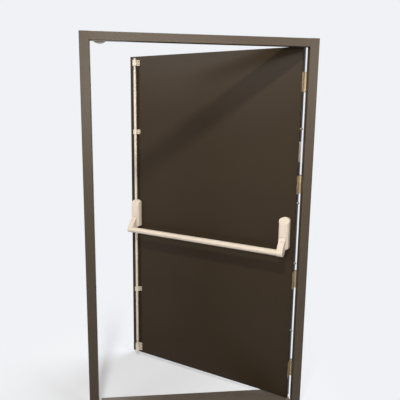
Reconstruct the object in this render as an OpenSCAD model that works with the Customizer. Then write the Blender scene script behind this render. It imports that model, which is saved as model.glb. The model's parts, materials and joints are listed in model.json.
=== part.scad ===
// Single-leaf fire exit door with its frame: a folded steel frame, a sheet steel leaf on four
// butt hinges, and a push-bar bolt that throws one rod up into the head and one down to the sill.
// The origin is at mid-width, mid-depth of the frame, on the underside of the threshold.
// The leaf is drawn closed and then swung open about the hinge axis.

/* [Frame] */
// Overall width of the frame
frame_w = 1190; // [900:5:1300]
// Overall height of the frame
frame_h = 2040; // [1980:5:2300]
// Width of a jamb seen from the front
jamb_face = 48; // [44:1:70]
// Height of the head seen from the front
head_face = 42; // [38:1:60]
// Step from the stop to the rebate wall on a jamb
jamb_rebate = 15; // [14:1:18]
// Step from the stop to the rebate wall on the head
head_rebate = 12; // [12:1:18]
// Depth of the stop behind the front of the frame
stop_d = 37; // [35:1:55]
// Thickness of the frame's sheet
frame_sheet = 1.5; // [1.2:0.1:2]
// Width of the return lips that meet the wall
return_lip = 14; // [10:1:18]
// Radius of the fixing holes through the stop
fixing_r = 5.5; // [4.5:0.5:6]

/* [Threshold] */
// Height of the threshold
sill_h = 20; // [16:1:24]
// Depth of the threshold, front to rear
sill_d = 165; // [110:1:180]
// Depth of its level top
sill_flat_d = 92; // [88:1:100]
// Height of its rear nose
sill_nose_h = 12; // [10:1:15]
// Wall of the threshold
sill_wall = 2; // [1.5:0.5:2.5]

/* [Leaf] */
// Thickness of the leaf
leaf_t = 45; // [42:1:54]
// Gap between the leaf and the frame at the sides and the top
edge_gap = 3; // [3:0.5:4]
// Room for the seal between the stop and the leaf
seal_space = 3; // [2.5:0.5:4]
// Gap between the threshold and the leaf
sill_gap = 5; // [4:1:8]
// Thickness of the leaf's skins
skin_t = 1.2; // [0.8:0.1:1.5]
// Angle at which the leaf stands open
open_angle = 36; // [0:1:90]

/* [Hinges] */
// Height of a hinge
hinge_h = 100; // [90:5:110]
// Thickness of a hinge plate
hinge_t = 2.5; // [2.5:0.1:3]
// Outer radius of the hinge knuckle
knuckle_r = 6; // [5.5:0.5:6]
// Radius of the hinge pin
hinge_pin_r = 3.5; // [3:0.1:3.6]
// Height of the lowest hinge's middle
hinge_low_z = 195; // [150:5:230]
// Height from the leaf's top edge down to the highest hinge's middle
hinge_top_drop = 177; // [150:1:230]

/* [Push-bar bolt] */
// Distance of the rods from the latch edge
rod_inset = 48; // [44:1:60]
// Distance of the idle case from the hinge edge
idle_inset = 53; // [48:1:60]
// Stand-off of the rods from the leaf's face
rod_standoff = 18; // [18:0.5:19]
// Diameter of the rods
rod_d = 16; // [14:0.5:16]
// Diameter of the bolts
bolt_d = 12; // [10:0.5:12]
// Travel of the bolts
rod_travel = 10.4; // [10:0.1:11]
// Angle through which the bar is pushed
push_angle = 24; // [23:0.5:25]
// Diameter of the crossbar
bar_d = 33.7; // [32:0.1:34]
// Height of the crossbar
bar_z = 914; // [880:1:1050]
// Stand-off of the crossbar from the leaf's face
bar_standoff = 72; // [71:0.5:76]
// Width of a case
case_w = 58; // [52:1:58]
// Height of a case
case_h = 175; // [172:1:185]
// Depth of a case
case_d = 40; // [40:0.5:42]
// Width of an arm
arm_w = 35; // [34:0.5:35.5]

/* [Clearances] */
// Gap between pieces that move past each other
run_gap = 0.3; // [0.3:0.05:0.4]
// Radial gap between a pin and its hole
pin_fit = 0.05; // [0.02:0.01:0.08]

/* [Hidden] */
$fn = 64;

// Frame planes
frame_d = stop_d + seal_space + leaf_t;
front_y = -frame_d / 2;
rear_y = frame_d / 2;
stop_y = front_y + stop_d;
wall_x = frame_w / 2;
stop_x = wall_x - jamb_face;
rebate_x = stop_x + jamb_rebate;
stop_z = frame_h - head_face;
rebate_z = stop_z + head_rebate;
frame_bend = 2;
half_sheet = frame_sheet / 2;

// Leaf planes
near_y = stop_y + seal_space;
leaf_x = rebate_x - edge_gap;
leaf_w = 2 * leaf_x;
leaf_low = sill_h + sill_gap;
leaf_top = rebate_z - edge_gap;
skin_bend = 1.5;
skin_seam = 0.3;
edge_mid_y = near_y + leaf_t / 2;
channel_leg = 25;
channel_t = 1.5;
stile_t = 4;
stile_gap = 0.3;

// Hinges
hinge_count = 4;
hinge_numbers = [0 : hinge_count - 1];
hinge_step = (leaf_top - hinge_top_drop - hinge_low_z) / (hinge_count - 1);
function hinge_z(i) = hinge_low_z + i * hinge_step;
hinge_mid_z = (hinge_z(0) + hinge_z(hinge_count - 1)) / 2;
axis_x = leaf_x + edge_gap / 2;
axis_y = rear_y + knuckle_r + 0.5;
plate_air = 1;
plate_near_y = near_y + 4;
recess_gap = 0.1;
knuckle_count = 5;
knuckle_step = hinge_h / knuckle_count;
pin_head_r = 5;
pin_head_h = 3;
backer_t = 4;
backer_margin = 15;

// Screws
screw_r = 2.2;
screw_head_r = 4;
screw_head_h = 1.8;
screw_len = 6.3;
screw_slot = 1;
hinge_screw_z = [for (i = [0 : 3]) hinge_h * (i - 1.5) / 4];
hinge_screw_y = [for (i = [0 : 3]) edge_mid_y + (i % 2 == 0 ? -8 : 8)];

// Dog bolts and the cover plate on the hinge edge
dog_r = 5.5;
dog_reach = 11;
dog_collar_r = 9;
dog_collar_t = 1;
dog_shank = 32;
dog_y = near_y + 20;
dog_hole_r = dog_r + 4;
dog_z = [for (i = [-1, 1]) for (part = [0.314, 1.053]) hinge_mid_z + i * part * hinge_step];
edge_plate_z = hinge_z(2) + 0.328 * hinge_step;
edge_plate_h = 108;
edge_plate_w = 28;
edge_plate_t = 1;

// Fixings to the wall
sleeve_gap = 1.5;
sleeve_r = (stop_d - frame_sheet - return_lip) / 2 - sleeve_gap;
fixing_y = (front_y + return_lip + stop_y - frame_sheet) / 2;
fixing_pair = 500;
fixing_end = 500;
fixing_z = [for (mid = [fixing_end, frame_h - fixing_end]) for (i = [-1, 1]) mid + i * fixing_pair / 2];

// Seals
seal_w = 9;
seal_base_t = 1;
seal_edge = 2;
seal_t = seal_space - run_gap;

// Rods, bolts and their guides
rod_x = rod_inset - leaf_x;
rod_r = rod_d / 2;
bolt_r = bolt_d / 2;
rod_wall = 1.5;
spigot_len = 30;
bolt_taper = 2;
bolt_len = 74;
top_tip_z = stop_z - 2;
low_tip_z = sill_h + 11;
top_rod_end = top_tip_z - bolt_len;
low_rod_end = low_tip_z + bolt_len + 12;
guide_w = 26;
guide_depth = rod_standoff + 10;
guide_round = 7;
flange_t = 3;
flange_reach = 26;
top_guide_h = 35;
top_guide_drop = 22;
rod_guide_h = 28;
rod_guide_inset = 450;
bottom_guide_h = 52;
bottom_guide_rise = 17;
top_guide_z = [leaf_top - top_guide_drop - top_guide_h, leaf_top - top_guide_drop];
upper_guide_z = [leaf_top - rod_guide_inset - rod_guide_h, leaf_top - rod_guide_inset];
lower_guide_z = [leaf_low + rod_guide_inset, leaf_low + rod_guide_inset + rod_guide_h];
bottom_guide_z = [leaf_low + bottom_guide_rise, leaf_low + bottom_guide_rise + bottom_guide_h];
guide_spans = [top_guide_z, upper_guide_z, lower_guide_z, bottom_guide_z];

// Keeps: each lip stands behind its bolt, on the side that the leaf opens to
keep_shift = 10;
keep_x = rod_x + keep_shift;
keep_w = 59;
keep_lip_t = 6;
keep_plate_t = 3;
keep_plate_d = 29;
keep_notch_r = bolt_r + 0.9;
keep_lip_y = near_y - rod_standoff + bolt_r + 1;
keep_gap = 0.6;
top_lip = stop_z - (top_tip_z - rod_travel + keep_gap);
floor_lip = low_tip_z + rod_travel - keep_gap - sill_h;
keep_screw_edge = 7;

// Cases
case_lift = 15;
case_z = bar_z + case_lift;
case_wall = 2;
case_rise = 12;
case_round = 6;
case_bevel_w = 8;
case_bevel_d = 12;
case_slope_d = 8;
case_slope_h = 33;
base_t = 3;
base_gap = 0.2;
idle_x = leaf_x - idle_inset;
case_screw_x = 15;
case_screw_z = [case_z + 12, case_z + case_h - 17];

// Arms, in stand-off and height: pivot near the leaf, nose in the case, hub on the crossbar
pivot_d = 13;
pivot_rise = 33;
pivot = [pivot_d, case_z + pivot_rise];
hub = [bar_standoff, bar_z];
nose_inset = 4;
nose_rise = 23;
nose = [case_d - nose_inset, pivot[1] + nose_rise];
bar_r = bar_d / 2;
hub_r = bar_r + 2.2;
boss_r = 9.5;
nose_r = 8;
nose_wall = 2;
cheek_t = 5;
arm_gap = arm_w - 2 * cheek_t;
slot_gap = 0.5;
slot_top = nose[1] + nose_r + 1;
lever_r = norm(hub - pivot);
relief_r = 15.5;
relief_at = pivot + (hub - pivot) * (lever_r - hub_r - 1.5 - relief_r) / lever_r;
rod_front = rod_standoff + rod_r + 1.5;
pivot_r = 3;
ear_t = 2.5;
ear_r = 8;
ear_x = case_w / 2 - case_wall - 0.3 - ear_t;
pivot_in = arm_gap / 2 + run_gap;
front_turn = asin((hub_r - nose_r) / norm(hub - nose));
front_angle = atan2(hub[1] - nose[1], hub[0] - nose[0]) + front_turn;
set_screw_r = 3;
set_screw_len = 5;
set_screw_at = 20;
bar_wall = 2;
plug_t = 2;
plug_len = 14;

// Return springs round the pivots
spring_wire_r = 0.45;
spring_r = 4.3;
spring_turns = 2;
spring_pitch = 1.05;
spring_steps = 16;
spring_sides = 6;
spring_start = arm_w / 2 + run_gap + spring_wire_r + 0.1;

// Crank, sliders and rocker
crank_r = rod_travel / (2 * sin(push_angle / 2));
crank = pivot + crank_r * [cos(push_angle / 2), sin(push_angle / 2)];
crank_pin_r = 2.5;
blade_t = 6;
blade_d = [pivot[0], pivot[0] + 8];
fork_d = [rod_standoff + rod_r + 3, crank[0] - crank_pin_r - 1, crank[0] + crank_pin_r];
fork_z = [crank[1] - 8, crank[1] + 6, crank[1] + 14];
socket_w = 22;
socket_d = [9, 27];
rod_seat = 5;
top_socket_h = 25;
top_socket_drop = 32;
top_socket_end = case_z + case_h - top_socket_drop;
top_socket_z = [top_socket_end - top_socket_h, top_socket_end];
low_socket_h = 17;
low_socket_drop = 12;
low_socket_end = pivot[1] - low_socket_drop;
low_socket_z = [low_socket_end - low_socket_h, low_socket_end];
top_rod_start = top_socket_z[0] + rod_seat;
low_rod_top = low_socket_z[1] - rod_seat;
rocker_drop = 30;
rocker_z = top_socket_z[0] - rocker_drop;
rocker_reach = 16;
rocker_end = 20.5;
rocker_bar = 9;
rocker_boss_r = 7;
rocker_d = [3.4, 7.4];
rocker_tilt = atan(rod_travel / 2 / rocker_reach);
stud_r = 3;
stud_head_r = 4.2;
stud_head_d = [7.7, 9.2];
drive_pin_r = 2;
drive_tip_d = 3.6;
strap_d = [9.5, 13.5];
strap_x = [5, 11.5];
strap_tab = 6;

paint = "#4a4238";
cream = "#e0d4be";
zinc = "#9a8a70";
steel = "#a09488";
rubber = "#2a2724";
wool = "#b8a878";

// Placing

function unit(v) = v / norm(v);

// Radius of the arc that rises over a chord
function arc_r(chord, rise) = (chord * chord / 4 + rise * rise) / (2 * rise);

// Swings a piece of the leaf open about the hinge axis
module on_leaf() {
  translate([axis_x, axis_y, 0])
    rotate([0, 0, -open_angle])
      translate([-axis_x, -axis_y, 0])
        children();
}

// A side view, in stand-off and height, drawn out across the leaf
module across(x, width) {
  translate([x, near_y, 0])
    rotate([90, 0, -90])
      linear_extrude(width, center = true)
        children();
}

// A plan, in sideways place and stand-off, drawn upwards
module upright(low, high) {
  translate([0, near_y, low])
    mirror([0, 1, 0])
      linear_extrude(high - low)
        children();
}

// A front view drawn out from one stand-off to another
module outward(from, to) {
  translate([0, near_y - from, 0])
    rotate([90, 0, 0])
      linear_extrude(to - from)
        children();
}

// A sheet folded at right angles along the middle of its thickness
module folded(path, t, bend) {
  last = len(path) - 1;
  for (i = [0 : last - 1]) {
    run = unit(path[i + 1] - path[i]);
    from = path[i] + (i > 0 ? bend : 0) * run;
    to = path[i + 1] - (i < last - 1 ? bend : 0) * run;
    size = [abs(run[0]) * norm(to - from) + abs(run[1]) * t, abs(run[1]) * norm(to - from) + abs(run[0]) * t];
    translate((from + to) / 2) square(size, center = true);
  }
  for (i = [1 : last - 1]) {
    come = unit(path[i] - path[i - 1]);
    go = unit(path[i + 1] - path[i]);
    translate(path[i] + bend * (go - come)) intersection() {
      difference() {
        circle(bend + t / 2);
        circle(bend - t / 2);
      }
      translate((come - go) * (bend + t) / 2) square(bend + t, center = true);
    }
  }
}

// A countersunk screw that points along +Z with its head's face at z = 0; room widens it into a hole
module countersunk(room = 0) {
  cylinder(h = screw_head_h, r1 = screw_head_r + room, r2 = screw_r + room);
  cylinder(h = screw_len + room, r = screw_r + room);
}

module slotted_screw() {
  difference() {
    countersunk();
    cube([2 * screw_head_r + 1, screw_slot, screw_slot], center = true);
  }
}

// Frame

function frame_path(wall, stop, rebate) = [
  [wall - half_sheet, front_y + return_lip],
  [wall - half_sheet, front_y + half_sheet],
  [stop + half_sheet, front_y + half_sheet],
  [stop + half_sheet, stop_y - half_sheet],
  [rebate + half_sheet, stop_y - half_sheet],
  [rebate + half_sheet, rear_y - half_sheet],
  [wall - half_sheet, rear_y - half_sheet],
  [wall - half_sheet, rear_y - return_lip]];

// The right-hand jamb, with its fixing holes
module jamb() {
  difference() {
    linear_extrude(frame_h)
      folded(frame_path(wall_x, stop_x, rebate_x), frame_sheet, frame_bend);
    for (z = fixing_z)
      translate([stop_x - 1, fixing_y, z])
        rotate([0, 90, 0])
          cylinder(h = frame_sheet + 2, r = fixing_r);
  }
}

module hinge_jamb() {
  color(paint) difference() {
    jamb();
    for (z = dog_z)
      translate([rebate_x - 1, dog_y, z])
        rotate([0, 90, 0])
          cylinder(h = frame_sheet + 2, r = dog_hole_r);
    for (i = hinge_numbers)
      translate([rebate_x - 1, plate_near_y - recess_gap, hinge_z(i) - hinge_h / 2 - recess_gap])
        cube([frame_sheet + frame_bend + 1, leaf_t, hinge_h + 2 * recess_gap]);
  }
}

module lock_jamb() {
  color(paint) mirror([1, 0, 0]) jamb();
}

// The head fits between the jambs, notched round their stops
module frame_head() {
  color(paint) difference() {
    translate([-rebate_x, 0, 0])
      rotate([90, 0, 90])
        linear_extrude(2 * rebate_x)
          head_profile();
    for (side = [-1, 1])
      translate([side * (stop_x + jamb_rebate), (front_y + stop_y) / 2, frame_h])
        cube([2 * jamb_rebate, stop_d + 1, 3 * head_face], center = true);
    for (side = [-1, 1])
      at_soffit() keep_screw_place(side) countersunk(pin_fit);
  }
}

// The frame's section with its wall side up
module head_profile() {
  path = frame_path(frame_h, stop_z, rebate_z);
  folded([for (p = path) [p[1], p[0]]], frame_sheet, frame_bend);
}

// A closed hollow section: a level top that falls to a nose at the rear
module threshold() {
  flat_y = front_y + sill_flat_d;
  nose_y = front_y + sill_d;
  w = sill_wall;
  color(steel) difference() {
    translate([-stop_x, 0, 0])
      rotate([90, 0, 90])
        linear_extrude(2 * stop_x)
          difference() {
            polygon([[front_y, 0], [front_y, sill_h], [flat_y, sill_h], [nose_y, sill_nose_h], [nose_y, 0]]);
            polygon([[front_y + w, w], [front_y + w, sill_h - w], [flat_y, sill_h - w],
              [nose_y - w, sill_nose_h - w], [nose_y - w, w]]);
          }
    for (side = [-1, 1])
      at_sill() keep_screw_place(side) countersunk(pin_fit);
  }
}

// Section of a seal on the rear of the stop: a flat foot and a round bulb
module seal_profile() {
  bulb_r = seal_t / 2;
  translate([seal_edge, 0]) square([seal_w, seal_base_t]);
  translate([seal_edge + seal_w - bulb_r, bulb_r]) circle(bulb_r);
  translate([seal_edge + bulb_r, bulb_r]) circle(bulb_r);
}

module jamb_seal() {
  translate([stop_x, stop_y, leaf_low])
    linear_extrude(leaf_top - leaf_low - seal_w - 2 * seal_edge)
      seal_profile();
}

module hinge_jamb_seal() {
  color(rubber) jamb_seal();
}

module lock_jamb_seal() {
  color(rubber) mirror([1, 0, 0]) jamb_seal();
}

module head_seal() {
  reach = stop_x + seal_edge + seal_w;
  color(rubber)
    translate([-reach, stop_y, stop_z])
      rotate([90, 0, 90])
        linear_extrude(2 * reach)
          mirror([1, -1]) seal_profile();
}

// A half-round lip in front view, over the chord at height 0
module lip_face(rise) {
  r = arc_r(keep_w, rise);
  intersection() {
    translate([0, rise - r]) circle(r, $fn = 128);
    translate([-keep_w / 2, 0]) square([keep_w, rise]);
  }
}

// A keep that stands on z = 0: a screwed foot, notched round the bolt, and the lip behind it
module keep(rise) {
  difference() {
    union() {
      translate([keep_x, keep_lip_y + keep_lip_t, 0])
        rotate([90, 0, 0])
          linear_extrude(keep_lip_t)
            lip_face(rise);
      translate([keep_x - keep_w / 2, keep_lip_y + keep_lip_t - keep_plate_d, 0])
        cube([keep_w, keep_plate_d - keep_lip_t, keep_plate_t]);
    }
    translate([rod_x, near_y - rod_standoff, -1])
      cylinder(h = keep_plate_t + 2, r = keep_notch_r);
    for (side = [-1, 1])
      keep_screw_place(side) countersunk(pin_fit);
  }
}

module keep_screw_place(side) {
  translate([keep_x + side * (keep_w / 2 - keep_screw_edge), near_y - rod_standoff, keep_plate_t])
    mirror([0, 0, 1])
      children();
}

module at_soffit() {
  translate([0, 0, stop_z]) mirror([0, 0, 1]) children();
}

module at_sill() {
  translate([0, 0, sill_h]) children();
}

module top_keep() {
  color(paint) at_soffit() keep(top_lip);
}

module floor_keep() {
  color(steel) at_sill() keep(floor_lip);
}

module keep_screws() {
  color(zinc) for (side = [-1, 1]) {
    at_soffit() keep_screw_place(side) slotted_screw();
    at_sill() keep_screw_place(side) slotted_screw();
  }
}

// Spacers inside the jambs, one at each fixing hole
module fixing_sleeves() {
  color(steel) for (side = [0, 1]) mirror([side, 0, 0]) for (z = fixing_z)
    translate([stop_x + frame_sheet, fixing_y, z])
      rotate([0, 90, 0])
        difference() {
          cylinder(h = jamb_face - frame_sheet, r = sleeve_r);
          translate([0, 0, -1]) cylinder(h = jamb_face + 1, r = fixing_r);
        }
}

// Hinges

// A hinge plate with its knuckles: side is 1 on the frame and -1 on the leaf
module hinge_leaf(i, side) {
  face = axis_x + side * plate_air / 2;
  back = face + side * hinge_t;
  low = hinge_z(i) - hinge_h / 2;
  first = side > 0 ? 0 : 1;
  difference() {
    union() {
      translate([min(face, back), plate_near_y, low]) cube([hinge_t, rear_y - plate_near_y, hinge_h]);
      for (k = [first : 2 : knuckle_count - 1])
        translate([0, 0, low + k * knuckle_step]) knuckle(min(face, back));
    }
    translate([axis_x, axis_y, low - 1]) cylinder(h = hinge_h + 2, r = hinge_pin_r + pin_fit);
    hinge_screw_places(i, side) countersunk(pin_fit);
  }
}

// One knuckle and the web that joins it to its plate
module knuckle(web_x) {
  gap = run_gap / 2;
  translate([0, 0, gap]) {
    translate([axis_x, axis_y, 0]) cylinder(h = knuckle_step - run_gap, r = knuckle_r);
    translate([web_x, rear_y - 1, 0]) cube([hinge_t, axis_y - rear_y + 1, knuckle_step - run_gap]);
  }
}

// Screw places on a plate, the screws pointing into the frame or into the leaf
module hinge_screw_places(i, side) {
  for (k = [0 : 3])
    translate([axis_x + side * plate_air / 2, hinge_screw_y[k], hinge_z(i) + hinge_screw_z[k]])
      rotate([0, side * 90, 0])
        children();
}

module frame_hinge_leaf(i) {
  color(zinc) hinge_leaf(i, 1);
}

module leaf_hinge_leaf(i) {
  color(zinc) on_leaf() hinge_leaf(i, -1);
}

module hinge_pins() {
  color(steel) for (i = hinge_numbers)
    translate([axis_x, axis_y, hinge_z(i) - hinge_h / 2]) {
      cylinder(h = hinge_h, r = hinge_pin_r);
      translate([0, 0, hinge_h]) cylinder(h = pin_head_h, r = pin_head_r);
    }
}

module frame_hinge_screws() {
  color(steel) for (i = hinge_numbers) hinge_screw_places(i, 1) slotted_screw();
}

module leaf_hinge_screws() {
  color(steel) on_leaf() for (i = hinge_numbers) hinge_screw_places(i, -1) slotted_screw();
}

// Plates inside the hinge jamb that take the hinge screws
module hinge_backers() {
  x = axis_x + plate_air / 2 + hinge_t;
  color(steel) difference() {
    for (i = hinge_numbers)
      translate([x, plate_near_y, hinge_z(i) - hinge_h / 2 - backer_margin])
        cube([backer_t, leaf_t - 2 * frame_bend - 4, hinge_h + 2 * backer_margin]);
    for (i = hinge_numbers) hinge_screw_places(i, 1) countersunk(pin_fit);
  }
}

// Leaf

// One skin in plan: its face and its two returns, which end short of the middle of the edge
module skin_profile(face_y, turn) {
  h = skin_t / 2;
  seam_y = edge_mid_y - turn * skin_seam / 2;
  x = leaf_x - h;
  y = face_y + turn * h;
  folded([[-x, seam_y], [-x, y], [x, y], [x, seam_y]], skin_t, skin_bend);
}

// Cut-outs on the leaf's hinge edge for the hinge plates and the dog bolts
module hinge_edge_cuts() {
  depth = edge_gap / 2 + plate_air / 2 + hinge_t;
  for (i = hinge_numbers)
    translate([axis_x - depth, plate_near_y - recess_gap, hinge_z(i) - hinge_h / 2 - recess_gap])
      cube([depth, leaf_t, hinge_h + 2 * recess_gap]);
  dog_places() translate([0, 0, -dog_shank - recess_gap])
    cylinder(h = dog_shank + dog_reach, r = dog_r + pin_fit);
}

// Dog bolt places on the hinge edge, pointing out of the leaf
module dog_places() {
  for (z = dog_z)
    translate([leaf_x, dog_y, z])
      rotate([0, 90, 0])
        children();
}

module edge_plate_screw_places() {
  for (side = [-1, 1])
    translate([leaf_x + edge_plate_t, edge_mid_y + edge_plate_w / 4, edge_plate_z + side * edge_plate_h * 0.4])
      rotate([0, -90, 0])
        children();
}

// Screw places on the leaf's face: a stand-off, then screws that point into the leaf
module face_screw(x, z, d) {
  translate([x, near_y - d, z])
    rotate([-90, 0, 0])
      children();
}

module guide_screw_places() {
  for (span = guide_spans) for (part = [0.25, 0.75])
    face_screw(rod_x + flange_reach - 6, span[0] + part * (span[1] - span[0]), flange_t)
      children();
}

module case_screw_places() {
  for (x = [rod_x, idle_x]) for (side = [-1, 1]) for (z = case_screw_z)
    face_screw(x + side * case_screw_x, z, base_t)
      children();
}

module face_screw_cuts() {
  guide_screw_places() countersunk(pin_fit);
  case_screw_places() countersunk(pin_fit);
}

module inner_skin() {
  color(paint) on_leaf() difference() {
    translate([0, 0, leaf_low])
      linear_extrude(leaf_top - leaf_low)
        skin_profile(near_y, 1);
    hinge_edge_cuts();
    face_screw_cuts();
    edge_plate_screw_places() countersunk(pin_fit);
  }
}

module outer_skin() {
  color(paint) on_leaf() difference() {
    translate([0, 0, leaf_low])
      linear_extrude(leaf_top - leaf_low)
        skin_profile(near_y + leaf_t, -1);
    hinge_edge_cuts();
    edge_plate_screw_places() countersunk(pin_fit);
  }
}

// Mineral wool board that fills the leaf between its skins and its channels
module leaf_core() {
  x = leaf_x - skin_t;
  right = x - stile_gap - stile_t;
  color(wool) on_leaf() difference() {
    translate([-x + skin_bend, near_y + skin_t, leaf_low + channel_leg])
      cube([x - skin_bend + right, leaf_t - 2 * skin_t, leaf_top - leaf_low - 2 * channel_leg]);
    hinge_edge_cuts();
    face_screw_cuts();
  }
}

// A channel that closes the top or the bottom of the leaf, in side view
module channel_profile(edge, turn) {
  near = -skin_t;
  rear = -leaf_t + skin_t;
  t = channel_t;
  web = edge + turn * t;
  leg = edge + turn * (channel_leg - recess_gap);
  polygon([[near, leg], [near, edge], [rear, edge], [rear, leg], [rear + t, leg], [rear + t, web],
    [near - t, web], [near - t, leg]]);
}

module leaf_channel(edge, turn) {
  on_leaf() difference() {
    across(0, 2 * (leaf_x - skin_t - skin_bend)) channel_profile(edge, turn);
    face_screw_cuts();
  }
}

module top_channel() {
  color(steel) leaf_channel(leaf_top, -1);
}

module bottom_channel() {
  color(steel) leaf_channel(leaf_low, 1);
}

// Flat bar behind the hinge edge that takes the hinge screws and the dog bolts
module hinge_stile() {
  x = leaf_x - skin_t - stile_gap;
  low = leaf_low + channel_leg;
  color(steel) on_leaf() difference() {
    translate([x - stile_t, near_y + skin_t + skin_bend, low])
      cube([stile_t, leaf_t - 2 * skin_t - 2 * skin_bend, leaf_top - channel_leg - low]);
    dog_places() translate([0, 0, -dog_shank]) cylinder(h = dog_shank, r = dog_r + pin_fit);
    for (i = hinge_numbers) hinge_screw_places(i, -1) countersunk(pin_fit);
    edge_plate_screw_places() countersunk(pin_fit);
  }
}

module dog_bolts() {
  color(steel) on_leaf() dog_places() {
    translate([0, 0, -dog_shank]) cylinder(h = dog_shank + dog_reach - 2, r = dog_r);
    translate([0, 0, dog_reach - 2]) cylinder(h = 2, r1 = dog_r, r2 = dog_r - 2);
    cylinder(h = dog_collar_t, r = dog_collar_r);
  }
}

module edge_plate() {
  color(cream) on_leaf() difference() {
    translate([leaf_x, edge_mid_y - edge_plate_w / 2, edge_plate_z - edge_plate_h / 2])
      cube([edge_plate_t, edge_plate_w, edge_plate_h]);
    edge_plate_screw_places() countersunk(pin_fit);
  }
}

module edge_plate_screws() {
  color(steel) on_leaf() edge_plate_screw_places() slotted_screw();
}

// Rods, bolts and guides

// A guide in plan: a rounded saddle over the rod and a flange towards the hinge side
module guide_profile(bore) {
  half = guide_w / 2;
  inner = half - guide_round;
  front = guide_depth - guide_round;
  difference() {
    union() {
      translate([-half, 0]) square([guide_w, front]);
      translate([-inner, 0]) square([2 * inner, guide_depth]);
      for (side = [-1, 1]) translate([side * inner, front]) circle(guide_round);
      square([flange_reach, flange_t]);
    }
    translate([0, rod_standoff]) circle(bore);
  }
}

module guide(span, bore) {
  color(cream) on_leaf() difference() {
    upright(span[0], span[1]) translate([rod_x, 0]) guide_profile(bore + run_gap);
    guide_screw_places() countersunk(pin_fit);
  }
}

module top_guide() {
  guide(top_guide_z, bolt_r);
}

module upper_rod_guide() {
  guide(upper_guide_z, rod_r);
}

module lower_rod_guide() {
  guide(lower_guide_z, rod_r);
}

module bottom_guide() {
  guide(bottom_guide_z, bolt_r);
}

module guide_screws() {
  color(zinc) on_leaf() guide_screw_places() slotted_screw();
}

// A tube on the rods' centre line
module rod_tube(low, high) {
  upright(low, high) translate([rod_x, rod_standoff]) difference() {
    circle(rod_r);
    circle(rod_r - rod_wall);
  }
}

module on_rod(z) {
  translate([rod_x, near_y - rod_standoff, z]) children();
}

// A bolt that points along +Z from z = 0, with its spigot in the rod below
module bolt(length) {
  translate([0, 0, -spigot_len]) cylinder(h = spigot_len, r = rod_r - rod_wall - pin_fit);
  cylinder(h = length - bolt_taper, r = bolt_r);
  translate([0, 0, length - bolt_taper]) cylinder(h = bolt_taper, r1 = bolt_r, r2 = bolt_r - bolt_taper);
}

module top_rod() {
  color(cream) on_leaf() rod_tube(top_rod_start, top_rod_end);
}

module top_bolt() {
  color(cream) on_leaf() on_rod(top_rod_end) bolt(top_tip_z - top_rod_end);
}

module bottom_rod() {
  color(cream) on_leaf() rod_tube(low_rod_end, low_rod_top);
}

module bottom_bolt() {
  color(cream) on_leaf() on_rod(low_rod_end) mirror([0, 0, 1]) bolt(low_rod_end - low_tip_z);
}

// Cases

// A case in front view: square with a domed top and round bottom corners
module case_face(inset) {
  half = case_w / 2 - inset;
  low = case_z + inset;
  top = case_z + case_h - inset;
  dome = arc_r(2 * half, case_rise);
  corner = case_round - inset;
  intersection() {
    union() {
      translate([-half, low + corner]) square([2 * half, top - low]);
      translate([-half + corner, low]) square([2 * (half - corner), top - low]);
      for (side = [-1, 1]) translate([side * (half - corner), low + corner]) circle(corner);
    }
    union() {
      translate([0, top - dome]) circle(dome, $fn = 128);
      translate([-half, low]) square([2 * half, top - low - case_rise]);
    }
  }
}

// A case in plan, with bevelled front edges
module case_plan(inset) {
  half = case_w / 2 - inset;
  front = case_d - inset;
  polygon([[-half, -1], [-half, front - case_bevel_d], [-half + case_bevel_w, front],
    [half - case_bevel_w, front], [half, front - case_bevel_d], [half, -1]]);
}

// A case in side view, with a sloping top
module case_side(inset) {
  front = case_d - inset;
  top = case_z + case_h - inset;
  polygon([[-1, case_z - 1], [-1, top], [case_slope_d, top], [front, top - case_slope_h], [front, case_z - 1]]);
}

module case_block(x, inset) {
  translate([x, 0, 0]) intersection() {
    outward(inset > 0 ? -1 : 0, case_d) case_face(inset);
    upright(case_z - 1, case_z + case_h + 1) case_plan(inset);
    across(0, case_w + 2) case_side(inset);
  }
}

// A hollow cover with the slot that its arm swings in
module case_cover(x) {
  slot_w = arm_w + 2 * slot_gap;
  difference() {
    case_block(x, 0);
    case_block(x, case_wall);
    translate([x, 0, 0]) outward(base_t, case_d + 1)
      translate([-slot_w / 2, case_z - 1]) square([slot_w, slot_top - case_z + 1]);
  }
}

// A base plate with the two ears that carry the arm's pivots
module case_base(x) {
  difference() {
    union() {
      translate([x, 0, 0]) outward(0, base_t) case_face(case_wall + base_gap);
      for (side = [-1, 1]) across(x + side * (ear_x + ear_t / 2), ear_t) {
        translate([0, pivot[1] - ear_r]) square([pivot[0], 2 * ear_r]);
        translate(pivot) circle(ear_r);
      }
    }
    pivot_bore(x, pivot_r + pin_fit);
    case_screw_places() countersunk(pin_fit);
  }
}

module pivot_bore(x, r) {
  across(x, case_w) translate(pivot) circle(r);
}

module active_base() {
  color(steel) on_leaf() difference() {
    case_base(rod_x);
    translate([rod_x, 0, 0]) outward(-1, base_t + 1) translate([0, rocker_z]) circle(stud_r + pin_fit);
  }
}

module active_cover() {
  color(cream) on_leaf() difference() {
    case_cover(rod_x);
    on_rod(top_socket_z[0]) cylinder(h = case_h, r = rod_r + run_gap);
  }
}

module idle_base() {
  color(steel) on_leaf() case_base(idle_x);
}

module idle_cover() {
  color(cream) on_leaf() case_cover(idle_x);
}

module case_screws() {
  color(zinc) on_leaf() case_screw_places() slotted_screw();
}

// Two stub pins, so that the rods pass between them
module pivot_pins(x) {
  length = ear_x + ear_t - pivot_in;
  for (side = [-1, 1])
    across(x + side * (pivot_in + length / 2), length) translate(pivot) circle(pivot_r);
}

module active_pivot_pins() {
  color(zinc) on_leaf() pivot_pins(rod_x);
}

module idle_pivot_pins() {
  color(zinc) on_leaf() pivot_pins(idle_x);
}

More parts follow.
